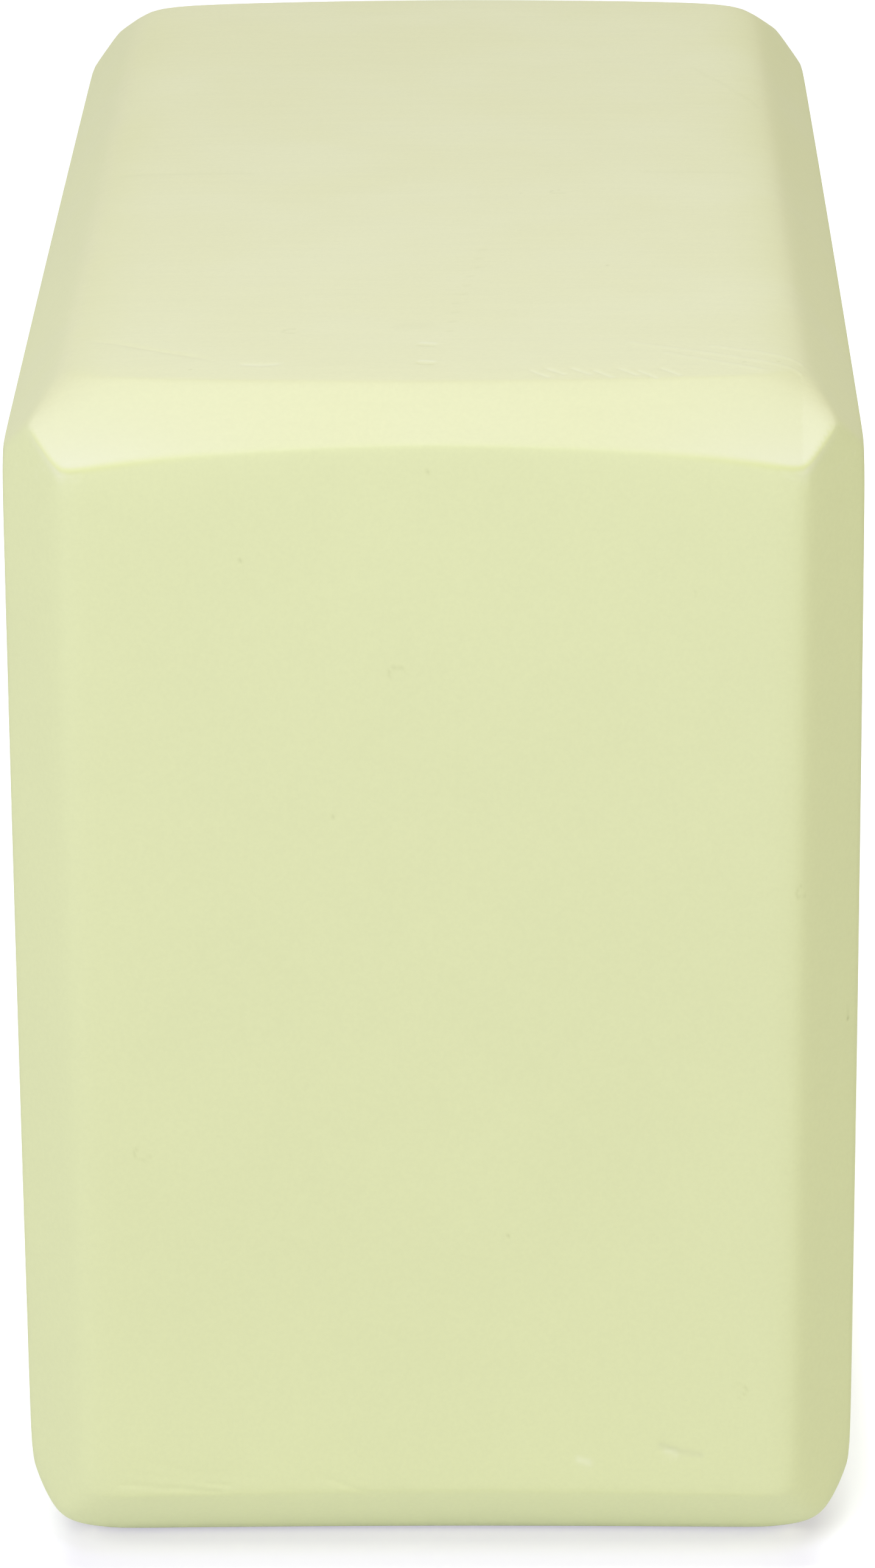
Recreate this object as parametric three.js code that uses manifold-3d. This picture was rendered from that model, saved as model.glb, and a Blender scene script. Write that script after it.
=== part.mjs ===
// A foam exercise block: one solid block of closed-cell foam with a broad bevel along all twelve
// edges. The frame is in millimetres. +Z is up, +Y runs along the block's length, +X across its
// width, and the origin is at the centre of the base.

import * as THREE from "three";
import { mergeVertices } from "three/addons/utils/BufferGeometryUtils.js";
import Module from "manifold-3d";

// Overall size.
const WIDTH = 102;
const LENGTH = 204;
const HEIGHT = 150;

// How far the bevels reach into the faces, measured along each direction of the block.
const BEVEL_ALONG_WIDTH = 8;
const BEVEL_ALONG_LENGTH = 9.5;
const BEVEL_ALONG_HEIGHT = 9.5;

// Each line where a bevel meets a face is rounded over, starting this far from the sharp line.
const EDGE_SOFTENING = 2.2;
const EDGE_SEGMENTS = 4;

// Each of the three prisms below runs this far past the block at both ends, so that only their
// sides shape it.
const PRISM_OVERRUN = 10;

const FOAM_COLOUR = 0xdfe4b6;
const FOAM_ROUGHNESS = 0.85;

const wasm = await Module();
wasm.setup();

// The corner points of a rectangle centred on the origin with its corners cut off, anticlockwise.
function bevelledCorners(width, height, cutAcross, cutUp) {
  const x = width / 2;
  const y = height / 2;
  return [
    new THREE.Vector2(x, -y + cutUp),
    new THREE.Vector2(x, y - cutUp),
    new THREE.Vector2(x - cutAcross, y),
    new THREE.Vector2(-x + cutAcross, y),
    new THREE.Vector2(-x, y - cutUp),
    new THREE.Vector2(-x, -y + cutUp),
    new THREE.Vector2(-x + cutAcross, -y),
    new THREE.Vector2(x - cutAcross, -y),
  ];
}

// The point that lies a distance from one point towards another.
function towards(from, to, distance) {
  return to.clone().sub(from).setLength(distance).add(from);
}

// A closed outline through these corners, each of them rounded over.
function softenedOutline(corners) {
  const outline = new THREE.Shape();
  corners.forEach((corner, i) => {
    const before = corners[(i + corners.length - 1) % corners.length];
    const after = corners[(i + 1) % corners.length];
    const start = towards(corner, before, EDGE_SOFTENING);
    const end = towards(corner, after, EDGE_SOFTENING);
    if (i === 0) outline.moveTo(start.x, start.y);
    else outline.lineTo(start.x, start.y);
    outline.quadraticCurveTo(corner.x, corner.y, end.x, end.y);
  });
  outline.closePath();
  return outline;
}

// A prism of this outline, centred on the origin along its own z axis and longer than the block.
function prism(corners, blockSide) {
  const depth = blockSide + 2 * PRISM_OVERRUN;
  const settings = { depth, bevelEnabled: false, curveSegments: EDGE_SEGMENTS };
  const geometry = new THREE.ExtrudeGeometry(softenedOutline(corners), settings);
  return geometry.translate(0, 0, -depth / 2);
}

function toSolid(geometry) {
  const bare = geometry.clone();
  bare.deleteAttribute("normal");
  bare.deleteAttribute("uv");
  const merged = mergeVertices(bare);
  const mesh = new wasm.Mesh({
    numProp: 3,
    vertProperties: new Float32Array(merged.attributes.position.array),
    triVerts: new Uint32Array(merged.index.array),
  });
  return new wasm.Manifold(mesh);
}

function toGeometry(solid) {
  const mesh = solid.getMesh();
  const geometry = new THREE.BufferGeometry();
  geometry.setAttribute("position", new THREE.BufferAttribute(mesh.vertProperties, 3));
  geometry.setIndex(new THREE.BufferAttribute(mesh.triVerts, 1));
  const flatShaded = geometry.toNonIndexed();
  flatShaded.computeVertexNormals();
  return flatShaded;
}

// The block is what three prisms have in common: one along each axis, each of which cuts the four
// bevels that run its way. Its middle is at the origin until it is lifted onto its base.
function blockGeometry() {
  const alongHeight = prism(
    bevelledCorners(WIDTH, LENGTH, BEVEL_ALONG_WIDTH, BEVEL_ALONG_LENGTH),
    HEIGHT,
  );
  const alongLength = prism(
    bevelledCorners(WIDTH, HEIGHT, BEVEL_ALONG_WIDTH, BEVEL_ALONG_HEIGHT),
    LENGTH,
  ).rotateX(Math.PI / 2);
  const alongWidth = prism(
    bevelledCorners(HEIGHT, LENGTH, BEVEL_ALONG_HEIGHT, BEVEL_ALONG_LENGTH),
    WIDTH,
  ).rotateY(Math.PI / 2);
  const solid = toSolid(alongHeight)
    .intersect(toSolid(alongLength))
    .intersect(toSolid(alongWidth));
  return toGeometry(solid);
}

function foamBlock() {
  const foam = new THREE.MeshStandardMaterial({
    color: FOAM_COLOUR,
    roughness: FOAM_ROUGHNESS,
    metalness: 0,
  });
  const mesh = new THREE.Mesh(blockGeometry(), foam);
  mesh.name = "foam_block";
  mesh.position.set(0, 0, HEIGHT / 2);
  return mesh;
}

const object = new THREE.Group();
object.add(foamBlock());

export default object;
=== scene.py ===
"""A foam exercise block on a white studio floor: pale lime closed-cell foam, bevelled all round.

The block's surface is a formula: six faces and twelve bevels, each a very slightly curved sheet, and the
block is what lies inside all of them. A fine mesh is laid over it, with its own lines along every crease,
and is then marked with the small dents, wrinkles and nicks of a used block. The block is shaped in
millimetres about its own middle, and turned into metres in the shared frame when the mesh is made.
"""

import math
import random

import bmesh
import bpy
import numpy as np
from mathutils import Matrix, Vector


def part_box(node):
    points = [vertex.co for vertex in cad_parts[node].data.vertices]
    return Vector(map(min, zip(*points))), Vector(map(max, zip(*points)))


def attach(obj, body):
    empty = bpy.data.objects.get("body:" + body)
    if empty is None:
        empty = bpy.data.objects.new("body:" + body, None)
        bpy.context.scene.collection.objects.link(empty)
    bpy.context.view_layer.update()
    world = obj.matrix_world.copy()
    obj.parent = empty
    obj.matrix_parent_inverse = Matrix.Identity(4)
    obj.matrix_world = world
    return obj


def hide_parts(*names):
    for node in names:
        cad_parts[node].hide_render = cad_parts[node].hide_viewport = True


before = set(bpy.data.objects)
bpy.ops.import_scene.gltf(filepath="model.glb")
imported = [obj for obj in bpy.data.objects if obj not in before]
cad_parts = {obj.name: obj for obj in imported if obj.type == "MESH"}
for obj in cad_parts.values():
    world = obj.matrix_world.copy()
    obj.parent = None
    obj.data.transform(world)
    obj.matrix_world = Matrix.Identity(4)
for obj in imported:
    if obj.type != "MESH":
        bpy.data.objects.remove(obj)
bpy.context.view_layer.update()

MM = 0.001
X, Y, Z = 0, 1, 2

low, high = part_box("foam_block")
HALF = (np.array(high) - np.array(low)) / 2 / MM
MIDDLE = (np.array(high) + np.array(low)) / 2

# The block's shape, in millimetres.
CUT = np.array([8.0, 9.5, 9.5])       # how far the bevels reach into the faces, along x, y and z
FACE_CROWN = 0.3                      # how much lower a face is at its corners than in its middle
TOP_BOW = (1.92, 0.0, 0.1)            # how far the bevels that run along x, y and z stand out at
BOTTOM_BOW = (-0.4, 0.0, 0.1)         # half their length, on the upper and the lower half of the block
BOW_POWER = 1.8
TOP_END_DROP = 0.6                    # how much deeper the top's end bevels are cut at both their ends
TOP_END_DROP_POWER = 7
FACE_ROLL = (0.25, 0.25, 0.42)        # how much each face dips towards its creases,
FACE_ROLL_LENGTH = (1.6, 1.6, 2.4)    # and over what length
BEVEL_ROLL = 0.12                     # and so does each bevel, a little
BEVEL_ROLL_LENGTH = 1.0
BOTTOM_BULGE = (0.7, 1.3)             # how far the bevels under the ends and the sides are rounded out
CREASE_RADIUS = 0.12                  # how round the crisp creases are
UPRIGHT_CREASE_RADIUS = 0.6           # and the ones between the upright bevels and the two ends
LONG_CREASE_RADIUS = 0.8              # between the long upper bevels and the top
TOP_MITRE_RADIUS = (0.7, 2.2)         # where the bevels around the top meet, halfway down and at the top
SIDE_MITRE_RADIUS = 0.7               # where the long bevels meet the upright ones
BOTTOM_MITRE_RADIUS = 1.0             # and where any bevels meet on the lower half
HALVES_BLEND = 20.0                   # the height over which the lower half's shape turns into the upper's

# The mesh over it.
BEVEL_CELLS = 12                      # across half a bevel
BEVEL_CELL_GROWTH = 1.6
ROWS_BESIDE_CREASE = (0.15, 0.35, 0.65, 1.05, 1.6)   # how far each lies from the crease
FACE_CELLS = (92, 84, 70)             # across the inside of a face, along x, y and z
FACE_CELL_GROWTH = (1.0, 1.25, 1.0)
CREASE_SHIFT_REACH = 12.0             # how far into a face the mesh gives way to a crease
CORNER_REACH = 3.2                    # the mesh is evened out this far around the bottom's corners
CORNER_ROUNDS = 30
MARK_MESH_REACH = 0.8                 # the mesh is made finer this near to a mark,
FINE_MARK_WIDTH = 1.0                 # unless the mark is wider than this,
MARK_MESH_ROUNDS = 2                  # this many times over

# The painted shade and highlights that follow the creases.
# Painted shade lines along the creases.
CREASE_LINE_WIDTH = 0.26
FAINT_CREASE = 0.12                   # how strong the line is on the creases that hardly show it
CRISP_LINE_FROM = 0.4                 # it grows between these shares of the half width, from this strength
CRISP_LINE_TO = 0.85
CRISP_LINE_IN_MIDDLE = 0.15
# Painted shade along the top's long borders, this wide.
TOP_BORDER_WIDTH = 3.5
# Painted highlight at the lower ends of the top's end bevels.
PALE_END_FROM = 0.3                   # the end bevels get paler between these shares of the half width
PALE_END_TO = 0.85
PALE_END_POWER = 1.5
PALE_END_HEIGHT = 4.0
ON_BEVEL = 0.8                        # about this near to a bevel or a face, a point counts as on it
ON_FACE = 0.5


# ---------------------------------------------------------------- the block's surface

def other_axes(axis):
    return (axis + 1) % 3, (axis + 2) % 3


def sheet_distances(points):
    """How far points lie outside the faces across x, y and z, and outside the bevels along x, y and z."""
    reach = np.abs(points)
    span = reach / HALF
    upper = points[:, Z] > 0
    faces = []
    bevels = []
    for axis in (X, Y, Z):
        a, b = other_axes(axis)
        crown = FACE_CROWN * (span[:, a] ** 2 + span[:, b] ** 2) / 2
        faces.append(reach[:, axis] - HALF[axis] + crown)
        slope = math.hypot(CUT[a], CUT[b])
        outside = (CUT[b] * (reach[:, a] - HALF[a]) + CUT[a] * (reach[:, b] - HALF[b] + CUT[b])) / slope
        if axis != Z:
            across = (reach[:, a] - HALF[a]) / CUT[a] - (reach[:, b] - HALF[b]) / CUT[b]
            bulge = BOTTOM_BULGE[axis] * (1 - np.minimum(across ** 2, 1))
            outside = outside - np.where(upper, 0, bulge)
        bow = np.where(upper, TOP_BOW[axis], BOTTOM_BOW[axis])
        along = np.minimum(reach[:, axis] / (HALF[axis] - CUT[axis]), 1)
        outside = outside - bow * (1 - along ** BOW_POWER)
        if axis == X:
            outside = outside + np.where(upper, TOP_END_DROP, 0) * along ** TOP_END_DROP_POWER
        bevels.append(outside)
    return faces, bevels


def rolled_sheets(points):
    """The same distances once every sheet dips towards its creases."""
    faces, bevels = sheet_distances(points)

    def dip(distance, amount, length):
        return amount * np.exp(np.minimum(distance, 0.5) / length)

    rolled_faces = []
    rolled_bevels = []
    for axis in (X, Y, Z):
        a, b = other_axes(axis)
        dips = [dip(bevels[i], FACE_ROLL[axis], FACE_ROLL_LENGTH[axis]) for i in (a, b)]
        rolled_faces.append(faces[axis] + sum(dips))
        dips = [dip(faces[i], BEVEL_ROLL, BEVEL_ROLL_LENGTH) for i in (a, b)]
        rolled_bevels.append(bevels[axis] + sum(dips))
    return rolled_faces, rolled_bevels


def smooth_maximum(values, radius):
    largest = np.maximum.reduce(values)
    return largest + radius * np.log(sum(np.exp((value - largest) / radius) for value in values))


def upper_bevels(points, bevels):
    """How far points lie outside the bevels around the top, as one rounded sheet."""
    halfway_down = HALF[Z] - CUT[Z] / 2
    climb = np.clip((points[:, Z] - halfway_down) / (CUT[Z] / 2), 0, 1)
    low_radius, high_radius = TOP_MITRE_RADIUS
    radius = low_radius + (high_radius - low_radius) * climb
    return smooth_maximum([bevels[X], bevels[Y]], radius)


def end_sheet(faces, bevels):
    """How far points lie outside the two ends and the upright bevels beside them, as one rounded sheet."""
    return smooth_maximum([bevels[Z], faces[Y]], UPRIGHT_CREASE_RADIUS)


def outside_block(points):
    """How far points lie outside the block."""
    faces, bevels = rolled_sheets(points)
    end = end_sheet(faces, bevels)
    top = upper_bevels(points, bevels)
    side = smooth_maximum([bevels[Y], bevels[Z]], SIDE_MITRE_RADIUS)
    top_face = smooth_maximum([bevels[Y], faces[Z]], LONG_CREASE_RADIUS)
    upper = smooth_maximum([top, side, end, top_face, faces[X]], CREASE_RADIUS)
    bottom = smooth_maximum(bevels, BOTTOM_MITRE_RADIUS)
    lower = smooth_maximum([bottom, end, faces[X], faces[Z]], CREASE_RADIUS)
    share = np.clip(points[:, Z] / HALVES_BLEND + 0.5, 0, 1)
    return upper * share + lower * (1 - share)


def slopes(function, points, step=1e-3):
    columns = []
    for axis in (X, Y, Z):
        nudge = np.zeros(3)
        nudge[axis] = step
        columns.append((function(points + nudge) - function(points - nudge)) / (2 * step))
    return np.stack(columns, -1)


def onto_block(points, rounds=5):
    for _ in range(rounds):
        slope = slopes(outside_block, points)
        length = np.maximum((slope ** 2).sum(-1), 1e-6)
        points = points - (outside_block(points) / length)[:, None] * slope
    return points


def onto_creases(points, wanted, rounds=6):
    """Moves each point to where the sheets that it wants, out of the six kinds, all meet."""
    def six(p):
        faces, bevels = rolled_sheets(p)
        return np.stack([*faces, *bevels], -1)

    for _ in range(rounds):
        jacobian = slopes(six, points) * wanted[:, :, None]
        points = points - np.einsum("nij,nj->ni", np.linalg.pinv(jacobian), six(points) * wanted)
    return points


# ---------------------------------------------------------------- the mesh

def mesh_lines(axis):
    """The mesh lines across one axis: where each lies, how far up a bevel, and how many cells up."""
    crease = HALF[axis] - CUT[axis]
    beside = np.array(ROWS_BESIDE_CREASE)
    inner = crease - beside[-1]
    share = np.linspace(0, 1, FACE_CELLS[axis] + 1) ** FACE_CELL_GROWTH[axis]
    middle = inner * (2 * share - 1)
    face = np.concatenate([[-crease], beside[:-1] - crease, middle, crease - beside[-2::-1], [crease]])
    climb = (np.arange(1, BEVEL_CELLS + 1) / BEVEL_CELLS) ** BEVEL_CELL_GROWTH
    bevel = crease + climb * CUT[axis] / 2
    place = np.concatenate([-bevel[::-1], face, bevel])
    climbs = np.concatenate([climb[::-1], 0 * face, climb])
    steps = np.arange(1, BEVEL_CELLS + 1)
    depth = np.concatenate([steps[::-1], 0 * face.astype(int), steps])
    return place, climbs, depth


LINES = [mesh_lines(axis) for axis in (X, Y, Z)]
CLIMB_AT_DEPTH = (np.arange(BEVEL_CELLS + 1) / BEVEL_CELLS) ** BEVEL_CELL_GROWTH


def back_to_depth(depth):
    """For each point of a side, along its first axis, the line that is only this deep in its bevel."""
    count = len(depth)
    index = np.arange(count)[:, None]
    first, last = BEVEL_CELLS, count - 1 - BEVEL_CELLS
    return np.where(index < first, first - depth, np.where(index > last, last + depth, index))


def fades(place, lines):
    """How the shift of each of these lines fades away across the side."""
    return [np.exp(-np.abs(place - place[line]) / CREASE_SHIFT_REACH) for line in lines]


def side_points(axis, sign):
    """The mesh's points on one of the block's six sides, out to the middle of each bevel around it."""
    a, b = other_axes(axis)
    place_a, climb_a, depth_a = LINES[a]
    place_b, climb_b, depth_b = LINES[b]
    shape = (len(place_a), len(place_b))
    climb = np.maximum(climb_a[:, None], climb_b[None, :])
    start = np.zeros((*shape, 3))
    start[..., a] = place_a[:, None]
    start[..., b] = place_b[None, :]
    start[..., axis] = sign * (HALF[axis] - climb * CUT[axis] / 2)

    # The creases: the face's own border, and the mitres that run out from its corners.
    depth_a, depth_b = np.broadcast_arrays(depth_a[:, None], depth_b[None, :])
    ends_a = (BEVEL_CELLS, shape[0] - 1 - BEVEL_CELLS)
    ends_b = (BEVEL_CELLS, shape[1] - 1 - BEVEL_CELLS)
    border_a = np.isin(np.arange(shape[0]), ends_a)[:, None] & (depth_b == 0)
    border_b = np.isin(np.arange(shape[1]), ends_b)[None, :] & (depth_a == 0)
    mitre = (depth_a == depth_b) & (depth_a > 0) & (depth_a < BEVEL_CELLS)
    wanted = np.zeros((*shape, 6))
    wanted[..., axis] = border_a | border_b
    wanted[..., 3 + b] = border_a | mitre
    wanted[..., 3 + a] = border_b | mitre
    creases = wanted.any(-1)
    corners = border_a & border_b

    # First the face's corners move to where three sheets meet, and then the creases between them.
    shift = np.zeros_like(start)
    shift[corners] = onto_creases(start[corners], wanted[corners]) - start[corners]
    fade_a = fades(place_a, ends_a)
    fade_b = fades(place_b, ends_b)
    for row in ends_a:
        shift[row] = sum(fade_b[i][:, None] * shift[row, ends_b[i]] for i in (0, 1))
    for column in ends_b:
        shift[:, column] = sum(fade_a[i][:, None] * shift[ends_a[i], column] for i in (0, 1))
    level = np.zeros_like(depth_a)
    shift = shift[back_to_depth(level), back_to_depth(level.T).T] * (1 - climb)[..., None]
    guess = start + shift
    shift[creases] = onto_creases(guess[creases], wanted[creases]) - start[creases]

    # The rest gives way to the creases: less towards the middle of a bevel or of the face.
    level = np.minimum(depth_a, depth_b)
    keep = (1 - climb) / np.maximum(1 - CLIMB_AT_DEPTH[level], 1e-9)
    given = shift[back_to_depth(level), back_to_depth(level.T).T] * keep[..., None]
    on_face = sum(fade_a[i][:, None, None] * shift[ends_a[i]][None] for i in (0, 1))
    on_face = on_face + sum(fade_b[j][None, :, None] * shift[:, ends_b[j]][:, None] for j in (0, 1))
    for i in (0, 1):
        for j in (0, 1):
            corner_shift = shift[ends_a[i], ends_b[j]]
            on_face = on_face - fade_a[i][:, None, None] * fade_b[j][None, :, None] * corner_shift
    inner = np.s_[ends_a[0] + 1:ends_a[1], ends_b[0] + 1:ends_b[1]]
    given[inner] = on_face[inner]
    return start + given


def lattice_numbers(axis, sign):
    """A number for each point of a side, the same on two sides that share the point."""
    a, b = other_axes(axis)
    counts = [len(LINES[i][0]) for i in (X, Y, Z)]
    index = [None, None, None]
    index[a], index[b] = np.meshgrid(np.arange(counts[a]), np.arange(counts[b]), indexing="ij")
    index[axis] = np.full(index[a].shape, counts[axis] - 1 if sign > 0 else 0)
    return (index[X] * counts[Y] + index[Y]) * counts[Z] + index[Z]


def block_mesh_parts():
    """The block's points, its four-sided faces, and the three-sided ones that fold along the mitres."""
    numbers, places, squares, triangles = [], [], [], []
    for axis in (X, Y, Z):
        for sign in (-1, 1):
            number = lattice_numbers(axis, sign)
            numbers.append(number.ravel())
            places.append(side_points(axis, sign).reshape(-1, 3))
            corners = np.stack([number[:-1, :-1], number[1:, :-1], number[1:, 1:], number[:-1, 1:]], -1)
            if sign < 0:
                corners = corners[..., ::-1]
            rows, columns = corners.shape[:2]
            i = np.minimum(np.arange(rows), rows - 1 - np.arange(rows))[:, None]
            j = np.minimum(np.arange(columns), columns - 1 - np.arange(columns))[None, :]
            folded = (i == j) & (i < BEVEL_CELLS)
            same_end = (np.arange(rows)[:, None] < rows / 2) == (np.arange(columns)[None, :] < columns / 2)
            squares.append(corners[~folded])
            straight = corners[folded & same_end]
            crossed = corners[folded & ~same_end]
            if sign < 0:
                straight, crossed = crossed, straight
            triangles += [straight[:, [0, 1, 2]], straight[:, [0, 2, 3]]]
            triangles += [crossed[:, [0, 1, 3]], crossed[:, [1, 2, 3]]]
    numbers = np.concatenate(numbers)
    kept, first = np.unique(numbers, return_index=True)
    points = np.concatenate(places)[first]
    squares = np.searchsorted(kept, np.concatenate(squares))
    triangles = np.searchsorted(kept, np.concatenate(triangles))
    return onto_block(points), squares, triangles


# ---------------------------------------------------------------- the painted shade and highlights along the creases

def share_of_width(points, start, end):
    """From 0 to 1 between two shares of the block's half width, on both sides of its middle."""
    return np.clip((np.abs(points[:, X]) / HALF[X] - start) / (end - start), 0, 1)


def crease_shade_lines(points):
    """Painted crease shade: 1 on the crisp creases below the top's end bevels and up their mitres, and a
    little on the rest.
    """
    faces, bevels = rolled_sheets(points)
    crisp = np.hypot(upper_bevels(points, bevels), end_sheet(faces, bevels))
    crisp = np.where(points[:, Z] > 0, crisp, np.inf)
    towards_ends = np.maximum(share_of_width(points, CRISP_LINE_FROM, CRISP_LINE_TO), CRISP_LINE_IN_MIDDLE)
    nearest = np.full(len(points), np.inf)
    for axis in (X, Y, Z):
        for other in other_axes(axis):
            nearest = np.minimum(nearest, np.hypot(faces[axis], bevels[other]))
    faint = FAINT_CREASE * np.exp(-((nearest / CREASE_LINE_WIDTH) ** 2))
    return np.maximum(faint, towards_ends * np.exp(-((crisp / CREASE_LINE_WIDTH) ** 2)))


def top_border_shade(points):
    """Painted shade along the top's two long borders: 1 at them, fading to 0 inwards."""
    faces, bevels = rolled_sheets(points)
    return np.exp(-((bevels[Y] / TOP_BORDER_WIDTH) ** 2) - (faces[Z] / ON_FACE) ** 2)


def end_highlights(points):
    """Painted highlight: 1 at both lower ends of the top's end bevels, fading to 0 inwards and upwards."""
    faces, bevels = rolled_sheets(points)
    inwards = share_of_width(points, PALE_END_FROM, PALE_END_TO) ** PALE_END_POWER
    depth = np.maximum(-faces[Y], 0)
    upwards = np.exp(-depth / PALE_END_HEIGHT) * np.clip(depth / ON_FACE, 0, 1)
    on_bevel = np.exp(-((bevels[X] / ON_BEVEL) ** 2)) * (points[:, Z] > 0)
    return inwards * upwards * on_bevel


# ---------------------------------------------------------------- the marks of use

class Mark:
    """A stroke on the surface: raised or sunk by its height, made paler by its scuffs and painted
    highlights, and soiled darker.
    """

    def __init__(self, places, width, height=0.0, scuff_and_highlight=0.0, soil=0.0):
        self.places = list(onto_block(np.array(places, float)))
        self.width = width
        self.height = height
        self.scuff_and_highlight = scuff_and_highlight
        self.soil = soil

    def distance(self, points):
        nearest = np.full(len(points), np.inf)
        ends = zip(self.places, self.places[1:] + self.places[-1:])
        for start, end in ends:
            step = end - start
            share = np.clip((points - start) @ step / max(step @ step, 1e-9), 0, 1)
            nearest = np.minimum(nearest, np.linalg.norm(points - start - share[:, None] * step, axis=-1))
        return nearest

    def strength(self, points):
        return np.exp(-((self.distance(points) / self.width) ** 2))


def on_top(x, y):
    return np.array([x, y, HALF[Z]])


def on_front(x, height):
    """A place on the front, by its height over the floor."""
    return np.array([x, -HALF[Y], height - HALF[Z]])


def wavy(start, end, steps, sway, chance):
    """The places along a stroke that sways a little to both sides."""
    along = end - start
    axle = (0, 1, 0) if abs(along[Y]) < 1e-6 else (0, 0, 1)
    sideways = np.cross(along / np.linalg.norm(along), axle)
    shares = np.linspace(0, 1, steps + 1)
    return [start + along * share + sideways * sway * chance.uniform(-1, 1) for share in shares]


def curl(middle, radius, first_axis, second_axis, chance):
    """The places along a short fallen hair."""
    turn = chance.uniform(0, 2 * math.pi)
    places = []
    for step in range(6):
        angle = turn + step * 0.7
        place = middle.copy()
        place[first_axis] += radius * math.cos(angle) * (1 + 0.15 * step)
        place[second_axis] += radius * math.sin(angle)
        places.append(place)
    return places


def marks_on_top(chance):
    marks = []
    # A trail of small nicks runs forward down the middle of the top, with two chips at its end.
    for share in np.linspace(0, 1, 10):
        place = on_top(5.4 - 4.1 * share + chance.uniform(-0.5, 0.5), -40.4 - 35.9 * share)
        marks.append(Mark([place, place + (0.5, 0.2, 0)], 0.35, -0.03, soil=0.08))
    for y in (-82.1, -89.4):
        marks.append(Mark([on_top(-1.5, y), on_top(0, y - 0.25)], 0.4, -0.12, soil=0.12))
        marks.append(Mark([on_top(-1.4, y + 0.9), on_top(0.1, y + 0.7)], 0.35, 0.05, scuff_and_highlight=0.5))
    # Wrinkles and long ridges, where the foam was pressed.
    for shift in (0, 1.6, 3.4):
        start, end = on_top(-43 + shift, -76 - shift), on_top(-29 + shift, -86 - shift * 0.6)
        marks.append(Mark(wavy(start, end, 5, 0.35, chance), 0.5, -0.06))
    ridges = [((23.4, -81.3), (43.7, -90.8)), ((27.5, -85.6), (38.5, -91.6)), ((33, -82.8), (44, -87.2))]
    for start, end in ridges:
        marks.append(Mark(wavy(on_top(*start), on_top(*end), 6, 0.15, chance), 0.42, 0.08, scuff_and_highlight=0.12))
    for x in np.linspace(11.1, 27.0, 7):
        start = on_top(x + chance.uniform(-0.6, 0.6), -91.6 + chance.uniform(-0.6, 0.3))
        marks.append(Mark([start, start + (1.9, -1.9, -1.2)], 0.33, -0.12, scuff_and_highlight=0.3))
    dent = [on_top(-22.1, -89.3), on_top(-20, -89.6), on_top(-18.4, -89.2)]
    marks.append(Mark(dent, 0.55, -0.15, scuff_and_highlight=0.35))
    # Faint dark streaks, fallen hairs and specks.
    streaks = [((-40.8, -3), (-24.2, -3)), ((26.4, -3), (38.6, -3)), ((34, 53), (42.6, 33))]
    for start, end in streaks:
        marks.append(Mark(wavy(on_top(*start), on_top(*end), 8, 0.25, chance), 0.4, -0.02, soil=0.05))
    for x, y in ((-16.8, -76), (15.3, -12.6)):
        marks.append(Mark(curl(on_top(x, y), 0.9, X, Y, chance), 0.16, 0, soil=0.14))
    for x, y in ((10.4, -13.5), (-28.3, -91.2), (40.6, -88.0), (36.5, -88.8), (-8.5, 31.0), (21.0, -47.5)):
        marks.append(Mark([on_top(x, y)], 0.2, -0.02, soil=0.25))
    marks.append(Mark([on_top(-3.2, -73.9), on_top(-1.4, -73.9)], 1.6, 0, soil=0.05))
    return marks


def marks_on_front(chance):
    marks = []
    for x, height in ((17.0, 14.1), (27.7, 15.4)):
        marks.append(Mark([on_front(x, height), on_front(x + 1.2, height - 0.4)], 0.45, -0.05, scuff_and_highlight=0.5))
    gouge = [on_front(27, 16), on_front(29.5, 15.1), on_front(31.8, 14.7)]
    marks.append(Mark(gouge, 0.4, -0.12, scuff_and_highlight=0.3, soil=0.2))
    for x, height in ((36.4, 23.3), (-35.5, 54.9), (44, 87.9), (-4.1, 115.8)):
        marks.append(Mark(curl(on_front(x, height), 0.8, X, Z, chance), 0.16, 0, soil=0.16))
    for x, height in ((-22.4, 129.7), (30.6, 125.4), (-12.0, 98.0), (8.5, 44.0)):
        marks.append(Mark([on_front(x, height)], 0.2, 0, soil=0.3))
    # Pressed wrinkles low on the left.
    for shift in (0, 1.4, 2.7):
        start, end = on_front(-38.9 + shift, 10.8 + shift), on_front(-27.0 + shift, 9.6 + shift * 0.8)
        marks.append(Mark(wavy(start, end, 5, 0.3, chance), 0.42, -0.09))
    marks.append(Mark(wavy(on_front(-15.1, 12), on_front(-7.7, 8.6), 4, 0.25, chance), 0.42, -0.1))
    return marks


def marks_on_edges(chance):
    """Small dents with painted highlight spots around the upper front corners, and two specks of dirt."""
    marks = []
    edge_height = 2 * HALF[Z] - CUT[Z]
    for side in (-1, 1):
        # Painted highlight spots with small dents on the front, just below the crease at each upper front
        # corner.
        for _ in range(7):
            x = side * (HALF[X] - CUT[X] + chance.uniform(-2.5, 0.8))
            place = on_front(x, edge_height - chance.uniform(0.2, 1.8))
            marks.append(Mark([place, place + (0.6 * side, 0, -0.2)], 0.3, -0.02, scuff_and_highlight=0.08))
        # Painted highlight spots with small dents high on the upright bevels.
        for _ in range(5):
            reach = chance.uniform(0.25, 0.8)
            x = side * (HALF[X] - CUT[X] * (1 - reach))
            place = on_front(x, edge_height - chance.uniform(0.2, 1.8))
            place[Y] += CUT[Y] * reach
            marks.append(Mark([place], 0.35, -0.02, scuff_and_highlight=0.08))
    marks.append(Mark([on_front(-0.5, edge_height)], 0.22, 0, soil=0.3))
    on_right_upright_bevel = np.array([49.5, -94.4, -5.8])
    marks.append(Mark([on_right_upright_bevel], 0.25, 0, soil=0.6))
    return marks


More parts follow.
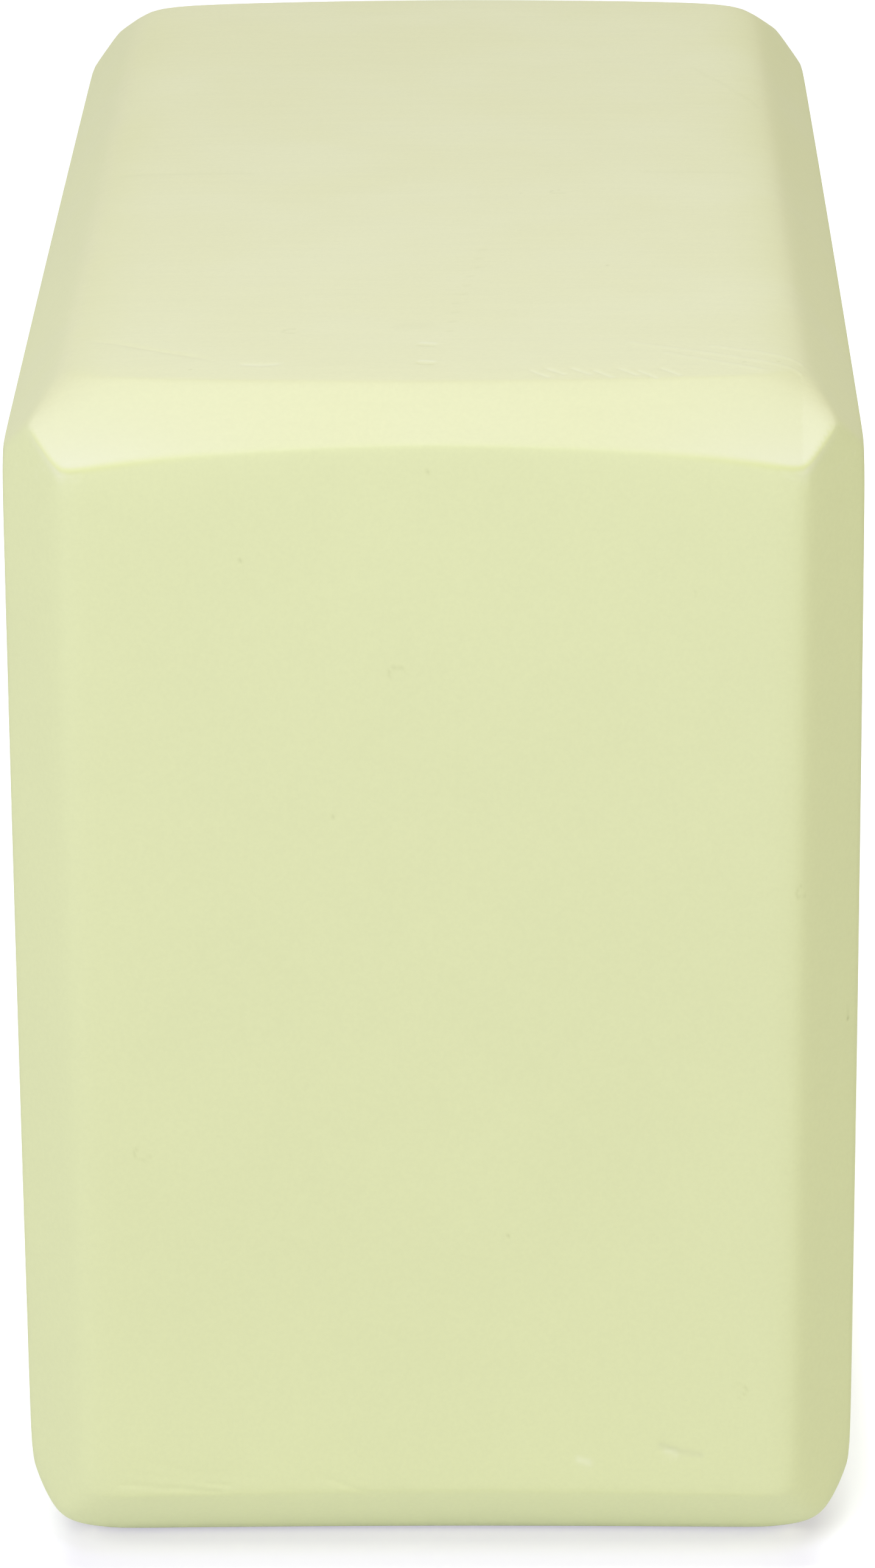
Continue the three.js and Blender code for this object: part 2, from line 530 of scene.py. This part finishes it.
def marks_on_the_rest(chance):
    """A few small dents on the two long sides and the back."""
    marks = []
    for axis, sign in ((X, -1), (X, 1), (Y, 1)):
        along = Y if axis == X else X
        for _ in range(5):
            place = np.zeros(3)
            place[axis] = sign * HALF[axis]
            place[along] = chance.uniform(-0.75, 0.75) * HALF[along]
            place[Z] = chance.uniform(-0.75, 0.65) * HALF[Z]
            step = np.zeros(3)
            step[along], step[Z] = chance.uniform(-1.6, 1.6), chance.uniform(-0.8, 0.8)
            marks.append(Mark([place, place + step], 0.4, -0.07, scuff_and_highlight=0.15))
    return marks


def marks_of_use():
    chance = random.Random(11)
    marks = marks_on_top(chance)
    marks += marks_on_front(chance)
    marks += marks_on_edges(chance)
    return marks + marks_on_the_rest(chance)


# ---------------------------------------------------------------- the block

def mesh_points(form):
    return np.array([vertex.co for vertex in form.verts]).reshape(-1, 3)


def refine_by_marks(form, marks):
    """Splits the mesh faces near the fine marks in four, and does so again."""
    for _ in range(MARK_MESH_ROUNDS):
        form.faces.ensure_lookup_table()
        middles = np.array([face.calc_center_median() for face in form.faces])
        near = np.zeros(len(middles), bool)
        for mark in marks:
            if mark.width > FINE_MARK_WIDTH:
                continue
            near |= mark.distance(middles) < mark.width + MARK_MESH_REACH
        edges = {edge for index in np.flatnonzero(near) for edge in form.faces[index].edges}
        bmesh.ops.subdivide_edges(form, edges=list(edges), cuts=1, use_grid_fill=True)


def even_bottom_corners(form):
    """Spreads the mesh evenly around the bottom's four corners, where its lines crowd together."""
    corner = HALF - CUT / 2
    places = mesh_points(form)
    near = (places[:, Z] < 0) & (np.linalg.norm(np.abs(places) - corner, axis=-1) < CORNER_REACH)
    crowded = [vertex for vertex, is_near in zip(form.verts, near) if is_near]
    all_ways = {"use_axis_x": True, "use_axis_y": True, "use_axis_z": True}
    for _ in range(CORNER_ROUNDS):
        bmesh.ops.smooth_vert(form, verts=crowded, factor=0.5, **all_ways)
        places = onto_block(np.array([vertex.co for vertex in crowded]), 2)
        for vertex, place in zip(crowded, places):
            vertex.co = place


def strongest(marks, strengths, tone):
    """The strongest value of one tone, the scuffs with the painted highlights, or the soil, that any mark
    gives to each point.
    """
    return np.maximum.reduce([getattr(mark, tone) * strength for mark, strength in zip(marks, strengths)])


def build_block():
    points, squares, triangles = block_mesh_parts()
    marks = marks_of_use()
    mesh = bpy.data.meshes.new("foam_block_skin")
    mesh.from_pydata(points.tolist(), [], squares.tolist() + triangles.tolist())
    form = bmesh.new()
    form.from_mesh(mesh)
    even_bottom_corners(form)
    refine_by_marks(form, marks)
    points = onto_block(mesh_points(form))
    strengths = [mark.strength(points) for mark in marks]
    # The painted light: shade along the creases and the top's long borders, and highlights at the ends of
    # the top's end bevels; the marks add real scuffs and soil, and painted highlight spots around the
    # upper front corners.
    tones = {
        "crease": crease_shade_lines(points),
        "border": top_border_shade(points),
        "pale": end_highlights(points),
        "scuff_and_highlight": strongest(marks, strengths, "scuff_and_highlight"),
        "soil": strongest(marks, strengths, "soil"),
    }

    # The marks push the surface in or out, and nothing comes to lie outside the block's own box.
    outward = slopes(outside_block, points)
    outward /= np.linalg.norm(outward, axis=-1)[:, None]
    raised = sum(mark.height * strength for mark, strength in zip(marks, strengths))
    points = np.clip(points + outward * raised[:, None], -HALF, HALF)
    for vertex, place in zip(form.verts, points * MM + MIDDLE):
        vertex.co = place
    form.to_mesh(mesh)
    form.free()
    for name, values in tones.items():
        mesh.attributes.new(name, "FLOAT", "POINT").data.foreach_set("value", values)
    mesh.shade_smooth()
    block = bpy.data.objects.new("foam_block_skin", mesh)
    bpy.context.scene.collection.objects.link(block)
    return block


# ---------------------------------------------------------------- materials

class Nodes:
    """A short way to build a material's nodes."""

    def __init__(self, name):
        self.material = bpy.data.materials.new(name)
        self.material.use_nodes = True
        self.tree = self.material.node_tree
        self.tree.nodes.clear()

    def add(self, kind, inputs=None, **settings):
        node = self.tree.nodes.new(kind)
        for key, value in settings.items():
            setattr(node, key, value)
        for key, value in (inputs or {}).items():
            self.feed(node.inputs[key], value)
        return node

    def feed(self, socket, value):
        if isinstance(value, bpy.types.NodeSocket):
            self.tree.links.new(value, socket)
        else:
            socket.default_value = value

    def maths(self, operation, first, second=0.0):
        return self.add("ShaderNodeMath", {0: first, 1: second}, operation=operation).outputs[0]

    def ramp(self, value, low, high, start=0.0, end=1.0):
        """Takes the value from low..high to start..end, smoothly, and no further."""
        inputs = {"Value": value, "From Min": low, "From Max": high, "To Min": start, "To Max": end}
        node = self.add("ShaderNodeMapRange", inputs, interpolation_type="SMOOTHSTEP")
        return node.outputs["Result"]

    def noise(self, place, scale, detail, roughness):
        inputs = {"Vector": place, "Scale": scale, "Detail": detail, "Roughness": roughness}
        return self.add("ShaderNodeTexNoise", inputs).outputs["Fac"]

    def attribute(self, name):
        return self.add("ShaderNodeAttribute", attribute_name=name).outputs["Fac"]

    def mix(self, factor, first, second, blend="MIX"):
        node = self.add("ShaderNodeMix", data_type="RGBA", blend_type=blend)
        self.feed(node.inputs["Factor"], factor)
        self.feed(node.inputs["A"], first)
        self.feed(node.inputs["B"], second)
        return node.outputs["Result"]


FOAM = (0.80, 0.835, 0.50, 1)
# Painted sheen: faces turned upwards are paler and warmer, for the light and reflection that the top
# catches.
FOAM_PAINTED_TOP_SHEEN = (0.83, 0.835, 0.53, 1)
# Painted shade along the top's long borders, darker and more saturated.
FOAM_PAINTED_BORDER_SHADE = (0.77, 0.785, 0.43, 1)
# Painted shade along the creases, darker and more saturated.
FOAM_PAINTED_CREASE_SHADE = (0.76, 0.80, 0.38, 1)
# Painted highlight at the lower ends of the top's end bevels.
FOAM_PAINTED_END_HIGHLIGHT = (0.86, 0.87, 0.66, 1)
# Paler foam for the marks' scuffs, and for the painted highlight spots around the upper front corners.
FOAM_SCUFF_AND_HIGHLIGHT = (0.92, 0.94, 0.72, 1)
FOAM_SOILED = (0.42, 0.44, 0.16, 1)
CELL_SCALE = 1700.0                   # the fine mottle of the closed cells
CLOUD_SCALE = 55.0                    # faint clouds, about two centimetres wide
STREAK_SCALE = 620.0                  # skiving streaks, drawn out ten times across the top
STREAK_SQUEEZE = 0.1
CELL_SHADE = 0.008                    # how much lighter or darker each of them makes the foam
CLOUD_SHADE = 0.004
STREAK_SHADE = 0.006
# The strength of the painted shade along the top's long borders.
BORDER_SHADE_STRENGTH = 0.4
# The strength of the painted highlight at the ends of the top's end bevels.
END_HIGHLIGHT_STRENGTH = 0.95
CELL_BUMP = 0.1
CELL_DEPTH = 0.0002
STREAK_BUMP = 0.5                     # beside the cells' own
FOAM_ROUGHNESS = (0.5, 0.6)
VEIL_AT_CONTACT = (0.35, 0.32, 0.36, 1)
VEIL_NEAR = (0.13, 0.10, 0.20, 1)
VEIL_BESIDE = (0.42, 0.42, 0.45, 1)
VEIL_AROUND = (0.62, 0.62, 0.65, 1)
NEAR_FADE = (-0.001, 0.0035)          # the distances from the contact over which each veil colour comes in
BESIDE_FADE = (0.001, 0.010)
AROUND_FADE = (0.0095, 0.014)
VEIL_HEIGHT = 0.00002
FLOOR_COLOUR = (0.92, 0.92, 0.92, 1)
FLOOR_GLOW = (0.056, 0.062, 0.119, 1)
FLOOR_REACH = 6.0
BACKDROP_GLOW = (0.91, 0.88, 0.86, 1)
WORLD_GLOW = (0.419, 0.400, 0.353, 1)


def foam_material():
    """Closed-cell foam: paler on top by a painted sheen, more saturated in its creases by painted shade,
    with painted highlights, and marked by use.
    """
    n = Nodes("foam")
    place = n.add("ShaderNodeTexCoord").outputs["Object"]
    normal = n.add("ShaderNodeNewGeometry").outputs["Normal"]
    facing = n.add("ShaderNodeSeparateXYZ", {0: normal}).outputs["Z"]
    upward = n.ramp(facing, 0.3, 0.97)
    cells = n.noise(place, CELL_SCALE, 2.0, 0.6)
    clouds = n.noise(place, CLOUD_SCALE, 3.0, 0.5)
    squeeze = {"Vector": place, "Scale": (STREAK_SQUEEZE, 1.0, 1.0)}
    drawn_out = n.add("ShaderNodeMapping", squeeze).outputs[0]
    streaks = n.noise(drawn_out, STREAK_SCALE, 3.0, 0.6)

    cell_shade = n.ramp(cells, 0.3, 0.7, 1 - CELL_SHADE, 1 + CELL_SHADE)
    cloud_shade = n.ramp(clouds, 0.3, 0.7, 1 - CLOUD_SHADE, 1 + CLOUD_SHADE)
    streak_shade = n.maths("MULTIPLY", n.ramp(streaks, 0.3, 0.7, -STREAK_SHADE, STREAK_SHADE), upward)
    shade = n.maths("ADD", n.maths("MULTIPLY", cell_shade, cloud_shade), streak_shade)
    greys = n.add("ShaderNodeCombineColor", {0: shade, 1: shade, 2: shade}).outputs[0]
    # Painted sheen: the colour turns paler on faces that turn upwards.
    colour = n.mix(1.0, n.mix(upward, FOAM, FOAM_PAINTED_TOP_SHEEN), greys, "MULTIPLY")

    # Painted shade along the top's long borders.
    border = n.maths("MULTIPLY", n.attribute("border"), n.maths("MULTIPLY", upward, BORDER_SHADE_STRENGTH))
    colour = n.mix(border, colour, FOAM_PAINTED_BORDER_SHADE)
    # Painted highlight at the ends of the top's end bevels.
    colour = n.mix(n.maths("MULTIPLY", n.attribute("pale"), END_HIGHLIGHT_STRENGTH), colour, FOAM_PAINTED_END_HIGHLIGHT)
    # Painted shade along the creases.
    colour = n.mix(n.attribute("crease"), colour, FOAM_PAINTED_CREASE_SHADE)
    # Scuffs, and painted highlight spots around the upper front corners.
    colour = n.mix(n.attribute("scuff_and_highlight"), colour, FOAM_SCUFF_AND_HIGHLIGHT)
    colour = n.mix(n.attribute("soil"), colour, FOAM_SOILED)

    relief = n.maths("ADD", cells, n.maths("MULTIPLY", streaks, n.maths("MULTIPLY", upward, STREAK_BUMP)))
    bump = n.add("ShaderNodeBump", {"Strength": CELL_BUMP, "Distance": CELL_DEPTH, "Height": relief})
    surface = n.add("ShaderNodeBsdfPrincipled", {
        "Base Color": colour,
        "Roughness": n.ramp(clouds, 0.3, 0.7, *FOAM_ROUGHNESS),
        "Normal": bump.outputs["Normal"],
    })
    n.add("ShaderNodeOutputMaterial", {"Surface": surface.outputs[0]})
    return n.material


def veil_material():
    """A thin glow over the floor that only the camera sees: faint by the block, and white around it."""
    n = Nodes("studio_floor_veil")
    position = n.add("ShaderNodeNewGeometry").outputs["Position"]
    place = n.add("ShaderNodeSeparateXYZ", {0: position}).outputs
    beside = n.maths("SUBTRACT", n.maths("ABSOLUTE", place["X"]), (HALF[X] - CUT[X]) * MM)
    before = n.maths("SUBTRACT", n.maths("ABSOLUTE", place["Y"]), (HALF[Y] - CUT[Y]) * MM)
    outside = {0: n.maths("MAXIMUM", beside), 1: n.maths("MAXIMUM", before)}
    outside = n.add("ShaderNodeCombineXYZ", outside).outputs[0]
    distance = n.add("ShaderNodeVectorMath", {0: outside}, operation="LENGTH").outputs["Value"]
    colour = n.mix(n.ramp(distance, *NEAR_FADE), VEIL_AT_CONTACT, VEIL_NEAR)
    colour = n.mix(n.ramp(beside, *BESIDE_FADE), colour, VEIL_BESIDE)
    colour = n.mix(n.ramp(distance, *AROUND_FADE), colour, VEIL_AROUND)
    glow = n.add("ShaderNodeEmission", {"Color": colour, "Strength": 1.0})
    clear = n.add("ShaderNodeBsdfTransparent")
    both = n.add("ShaderNodeAddShader", {0: glow.outputs[0], 1: clear.outputs[0]})
    n.add("ShaderNodeOutputMaterial", {"Surface": both.outputs[0]})
    return n.material


def floor_material():
    n = Nodes("studio_floor")
    surface = n.add("ShaderNodeBsdfDiffuse", {"Color": FLOOR_COLOUR})
    glow = n.add("ShaderNodeEmission", {"Color": FLOOR_GLOW, "Strength": 1.0})
    both = n.add("ShaderNodeAddShader", {0: surface.outputs[0], 1: glow.outputs[0]})
    n.add("ShaderNodeOutputMaterial", {"Surface": both.outputs[0]})
    return n.material


def backdrop_material():
    n = Nodes("studio_backdrop")
    glow = n.add("ShaderNodeEmission", {"Color": BACKDROP_GLOW, "Strength": 1.0})
    n.add("ShaderNodeOutputMaterial", {"Surface": glow.outputs[0]})
    return n.material


# ---------------------------------------------------------------- the studio

def new_stage_mesh(name, points, faces, material):
    mesh = bpy.data.meshes.new(name)
    mesh.from_pydata(points, [], faces)
    piece = bpy.data.objects.new(name, mesh)
    piece.data.materials.append(material)
    bpy.context.scene.collection.objects.link(piece)
    return piece


def build_floor():
    reach = FLOOR_REACH
    corners = [(-reach, -reach, 0), (reach, -reach, 0), (reach, reach, 0), (-reach, reach, 0)]
    new_stage_mesh("studio_floor", corners, [(0, 1, 2, 3)], floor_material())
    raised = [(x, y, VEIL_HEIGHT) for x, y, _ in corners]
    veil = new_stage_mesh("studio_floor_veil", raised, [(0, 1, 2, 3)], veil_material())
    veil.visible_diffuse = False
    veil.visible_glossy = False
    veil.visible_transmission = False
    veil.visible_shadow = False


def build_backdrop():
    """A white dome that is seen, directly and in reflections, and otherwise lights nothing."""
    form = bmesh.new()
    bmesh.ops.create_uvsphere(form, u_segments=48, v_segments=24, radius=FLOOR_REACH)
    mesh = bpy.data.meshes.new("studio_backdrop")
    form.to_mesh(mesh)
    form.free()
    mesh.materials.append(backdrop_material())
    dome = bpy.data.objects.new("studio_backdrop", mesh)
    bpy.context.scene.collection.objects.link(dome)
    dome.visible_diffuse = False
    dome.visible_shadow = False


def build_world(colour):
    world = bpy.data.worlds.new("studio")
    world.use_nodes = True
    background = world.node_tree.nodes["Background"]
    background.inputs["Color"].default_value = colour
    background.inputs["Strength"].default_value = 1.0
    bpy.context.scene.world = world


def add_softbox(name, place, size, power, tint):
    """A square light that faces the middle of the block."""
    data = bpy.data.lights.new(name, "AREA")
    data.shape = "SQUARE"
    data.size = size
    data.energy = power
    data.color = tint
    light = bpy.data.objects.new(name, data)
    light.location = place
    light.rotation_euler = (Vector(MIDDLE) - Vector(place)).to_track_quat("-Z", "Y").to_euler()
    bpy.context.scene.collection.objects.link(light)


CAMERA_PLACE = (0.010218, -0.852974, 0.373932)
CAMERA_PITCH = math.radians(19.9056)  # how far it looks down,
CAMERA_YAW = math.radians(-0.7513)    # how far it turns to the right,
CAMERA_ROLL = math.radians(-0.4236)   # and how far it leans
CAMERA_LENS = 155.78
CAMERA_SENSOR = 36.0


def build_camera():
    data = bpy.data.cameras.new("camera")
    data.sensor_width = CAMERA_SENSOR
    data.lens = CAMERA_LENS
    data.clip_start = 0.05
    data.clip_end = 50.0
    camera = bpy.data.objects.new("camera", data)
    yaw = Matrix.Rotation(-CAMERA_YAW, 4, "Z")
    pitch = Matrix.Rotation(math.pi / 2 - CAMERA_PITCH, 4, "X")
    roll = Matrix.Rotation(CAMERA_ROLL, 4, "Z")
    camera.matrix_world = Matrix.Translation(CAMERA_PLACE) @ yaw @ pitch @ roll
    bpy.context.scene.collection.objects.link(camera)
    bpy.context.scene.camera = camera


build_camera()
build_floor()
build_backdrop()
build_world(WORLD_GLOW)
add_softbox("key_light", (-0.7, -1.5, 1.5), 1.4, 18.6, (0.963, 1, 0.945))
add_softbox("left_light", (-1.8, -0.5, 0.9), 1.2, 1.56, (0.75, 0.88, 1))
add_softbox("right_light", (1.8, -0.5, 0.9), 1.2, 4.1, (0.98, 1, 0.19))
add_softbox("near_light", (0.0, -0.22, 0.42), 0.12, 0.205, (0.61, 0.64, 1))
add_softbox("back_light", (0.0, 1.9, 1.3), 1.4, 4.9, (0.82, 0.93, 1))

block = build_block()
block.data.materials.append(foam_material())
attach(block, "root")
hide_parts("foam_block")

bpy.context.scene.view_settings.view_transform = "Standard"
